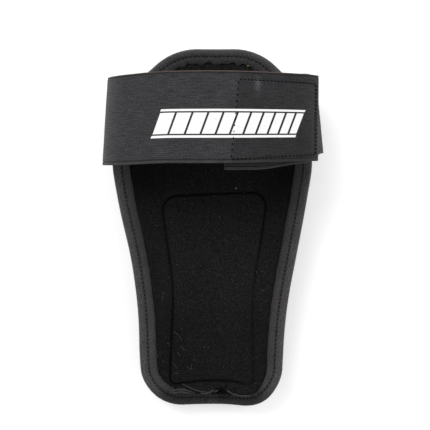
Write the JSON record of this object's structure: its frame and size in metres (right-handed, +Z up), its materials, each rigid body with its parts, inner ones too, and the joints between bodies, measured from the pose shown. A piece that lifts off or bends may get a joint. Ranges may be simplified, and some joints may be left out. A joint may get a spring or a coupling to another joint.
{
  "type": "forearm guard",
  "caption": "Strap-on padded forearm guard: a ribbed trough with a bound edge, a soft lining panel and a wide elastic strap that closes in hook and loop.",
  "frame": {"origin": "under the middle of the guard, on the surface that it lies on", "axes": "+Z up out of the hollow, +Y towards the elbow end, +X towards the side where the strap closes"},
  "size_m": [0.152, 0.26, 0.08],
  "materials": {
    "lining_knit": "brushed knit, matt",
    "soft_foam": "open-cell foam",
    "firm_foam": "closed-cell foam",
    "plate_plastic": "matt moulded sheet",
    "cover_cloth": "tight woven, slight sheen",
    "binding_tape": "knitted tape, matt",
    "thread": "twisted sewing thread",
    "elastic": "ribbed woven elastic",
    "hook_tape": "fine moulded hooks",
    "loop_pile": "brushed loop pile"
  },
  "bodies": {
    "pad": {"lining": "lining_knit", "comfort_pad": "soft_foam", "base_foam": "firm_foam", "shell_plate": "plate_plastic", "rib_foam_1": "firm_foam", "rib_foam_2": "firm_foam", "rib_foam_3": "firm_foam", "rib_foam_4": "firm_foam", "rib_foam_5": "firm_foam", "outer_cover": "cover_cloth", "edge_binding": "binding_tape", "binding_needle_thread": "thread", "binding_bobbin_thread": "thread", "rib_quilting_thread": "thread", "strap_reinforcement": "cover_cloth", "strap_back": "elastic", "strap_box_stitch_left": "thread", "strap_box_stitch_right": "thread"},
    "front_flap": {"strap_front": "elastic"},
    "hook_end": {"strap_hook_end": "elastic", "hook_patch": "hook_tape", "hook_patch_thread": "thread"},
    "loop_tab": {"strap_loop_tab": "elastic", "loop_patch": "loop_pile", "loop_patch_thread": "thread"}
  },
  "joints": [
    {"name": "strap_lift", "type": "hinge", "parent": "pad", "child": "front_flap", "pos_m": [-0.076, 0.078, 0.03833], "axis": [0, -1, 0], "range_deg": [0, 135]},
    {"name": "hook_end_peel", "type": "hinge", "parent": "front_flap", "child": "hook_end", "pos_m": [0.013, 0.078, 0.0794], "axis": [0, -1, 0], "range_deg": [0, 75]},
    {"name": "loop_tab_lift", "type": "hinge", "parent": "pad", "child": "loop_tab", "pos_m": [0.076, 0.078, 0.03415], "axis": [0, 1, 0], "range_deg": [0, 81]}
  ],
  "couplings": [
    {"joint": "loop_tab_lift", "follows": "strap_lift", "ratio": 0.6}
  ]
}
